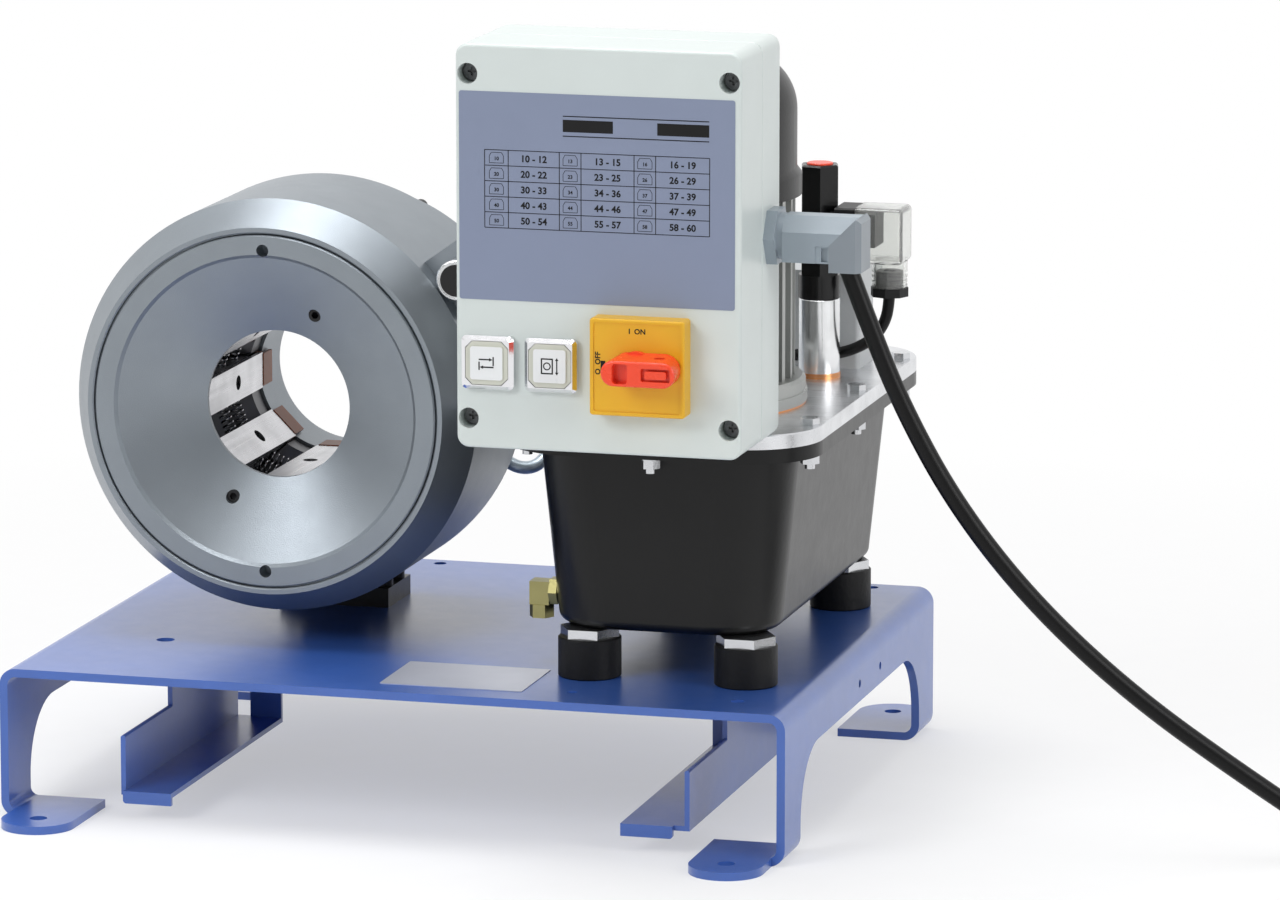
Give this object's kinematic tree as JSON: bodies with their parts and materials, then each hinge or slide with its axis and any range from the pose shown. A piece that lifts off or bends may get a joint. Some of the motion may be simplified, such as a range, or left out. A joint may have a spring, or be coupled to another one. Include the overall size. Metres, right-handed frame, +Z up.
{
  "type": "hose crimping machine",
  "caption": "Bench-top machine that crimps hose fittings between dies closed by a hydraulic piston, with a power unit and a control box.",
  "frame": {"origin": "centre of the four foot holes, on the bench surface", "axes": "+Z up, +X to the operator's right, +Y from the operator to the back"},
  "size_m": [0.9545, 0.4789, 0.477],
  "materials": {
    "base_frame": "blue powder coat, fine texture",
    "rail": "blue powder coat",
    "head_paint": "silver-grey structured coat",
    "black_steel": "burnished black",
    "ground_steel": "ground and oiled",
    "bronze": "plain bearing bronze",
    "die_steel": "hardened, oiled",
    "spring_steel": "drawn wire",
    "seal": "nitrile",
    "zinc": "bright zinc",
    "black_screw": "black oxide",
    "tank_plastic": "moulded, satin",
    "aluminium": "milled",
    "cast_aluminium": "die cast",
    "black_plastic": "moulded",
    "brass": "passivated",
    "copper": "copper, soft",
    "lamination": "stacked sheet",
    "grey_paint": "light grey",
    "pipe_steel": "pale blue coat",
    "clear": "clear polycarbonate",
    "cable": "matt sheath",
    "box_plastic": "light grey moulded",
    "chrome": "bright",
    "button_white": "translucent cap",
    "yellow": "moulded",
    "red": "moulded",
    "outlet_grey": "moulded",
    "electrics": "moulded"
  },
  "bodies": {
    "machine": {"base_frame": "base_frame", "die_rail_left": "rail", "die_rail_right": "rail", "head_housing": "head_paint", "front_cover": "head_paint", "front_lock_screws": "black_screw", "front_cone": "head_paint", "front_slide_plates": "bronze", "rear_cover": "head_paint", "die_springs": "spring_steel", "head_foot": "black_steel", "cap_screws": "black_screw", "dial_block": "head_paint", "tank": "tank_plastic", "cover_plate": "aluminium", "cover_bolts": "zinc", "rubber_buffers": "seal", "buffer_fasteners": "zinc", "drain_fitting": "brass", "motor_housing": "cast_aluminium", "motor_hood": "black_plastic", "stator": "lamination", "pump_unit": "cast_aluminium", "valve_body": "aluminium", "sealing_rings": "copper", "solenoid": "black_plastic", "connector_housing": "clear", "connector_insert": "black_plastic", "valve_cable": "cable", "terminal_box": "grey_paint", "pressure_pipe": "pipe_steel", "box_base": "box_plastic", "box_lid": "box_plastic", "lid_screws": "black_plastic", "box_bracket": "grey_paint", "button_bezels": "chrome", "switch_plate": "yellow", "box_electrics": "electrics", "cable_outlet": "outlet_grey", "outlet_elbow": "outlet_grey", "mains_cable": "cable", "cable_coil": "cable", "cable_plug": "black_plastic"},
    "piston": {"piston": "ground_steel", "piston_seals": "seal", "rear_slide_plates": "bronze"},
    "die_1": {"die_1": "die_steel"},
    "die_2": {"die_2": "die_steel"},
    "die_3": {"die_3": "die_steel"},
    "die_4": {"die_4": "die_steel"},
    "die_5": {"die_5": "die_steel"},
    "die_6": {"die_6": "die_steel"},
    "die_7": {"die_7": "die_steel"},
    "die_8": {"die_8": "die_steel"},
    "dial": {"dial_knob": "aluminium"},
    "rotor": {"motor_rotor": "lamination"},
    "switch": {"switch_handle": "red"},
    "button_left": {"button_left": "button_white"},
    "button_right": {"button_right": "button_white"},
    "override": {"override_button": "red"}
  },
  "joints": [
    {"name": "piston_slide", "type": "slide", "parent": "machine", "child": "piston", "axis": [0, -1, 0], "range_m": [0, 0.0256], "stiffness_N_per_m": 3000, "deforming": ["die_springs"]},
    {"name": "die_1_slide", "type": "slide", "parent": "machine", "child": "die_1", "axis": [-0.7809, -0.6247, 0], "range_m": [0, 0.02049]},
    {"name": "die_2_slide", "type": "slide", "parent": "machine", "child": "die_2", "axis": [-0.5522, -0.6247, -0.5522], "range_m": [0, 0.02049]},
    {"name": "die_3_slide", "type": "slide", "parent": "machine", "child": "die_3", "axis": [0, -0.6247, -0.7809], "range_m": [0, 0.02049]},
    {"name": "die_4_slide", "type": "slide", "parent": "machine", "child": "die_4", "axis": [0.5522, -0.6247, -0.5522], "range_m": [0, 0.02049]},
    {"name": "die_5_slide", "type": "slide", "parent": "machine", "child": "die_5", "axis": [0.7809, -0.6247, 0], "range_m": [0, 0.02049]},
    {"name": "die_6_slide", "type": "slide", "parent": "machine", "child": "die_6", "axis": [0.5522, -0.6247, 0.5522], "range_m": [0, 0.02049]},
    {"name": "die_7_slide", "type": "slide", "parent": "machine", "child": "die_7", "axis": [0, -0.6247, 0.7809], "range_m": [0, 0.02049]},
    {"name": "die_8_slide", "type": "slide", "parent": "machine", "child": "die_8", "axis": [-0.5522, -0.6247, 0.5522], "range_m": [0, 0.02049]},
    {"name": "dial_turn", "type": "hinge", "parent": "machine", "child": "dial", "pos_m": [0.00835, -0.072, 0.31474], "axis": [0, 1, 0], "range_deg": [0, 270]},
    {"name": "rotor_spin", "type": "hinge", "parent": "machine", "child": "rotor", "pos_m": [0.136, -0.036, 0.3], "axis": [0, 0, 1], "continuous": true},
    {"name": "switch_turn", "type": "hinge", "parent": "machine", "child": "switch", "pos_m": [0.1635, -0.231, 0.2965], "axis": [0, 1, 0], "range_deg": [0, 90]},
    {"name": "button_left_press", "type": "slide", "parent": "machine", "child": "button_left", "axis": [0, 1, 0], "range_m": [0, 0.003], "stiffness_N_per_m": 800},
    {"name": "button_right_press", "type": "slide", "parent": "machine", "child": "button_right", "axis": [0, 1, 0], "range_m": [0, 0.003], "stiffness_N_per_m": 800},
    {"name": "override_press", "type": "slide", "parent": "machine", "child": "override", "axis": [0, 0, -1], "range_m": [0, 0.002], "stiffness_N_per_m": 1500}
  ],
  "couplings": [
    {"joint": "die_1_slide", "follows": "piston_slide", "ratio": 0.80039},
    {"joint": "die_2_slide", "follows": "piston_slide", "ratio": 0.80039},
    {"joint": "die_3_slide", "follows": "piston_slide", "ratio": 0.80039},
    {"joint": "die_4_slide", "follows": "piston_slide", "ratio": 0.80039},
    {"joint": "die_5_slide", "follows": "piston_slide", "ratio": 0.80039},
    {"joint": "die_6_slide", "follows": "piston_slide", "ratio": 0.80039},
    {"joint": "die_7_slide", "follows": "piston_slide", "ratio": 0.80039},
    {"joint": "die_8_slide", "follows": "piston_slide", "ratio": 0.80039}
  ]
}
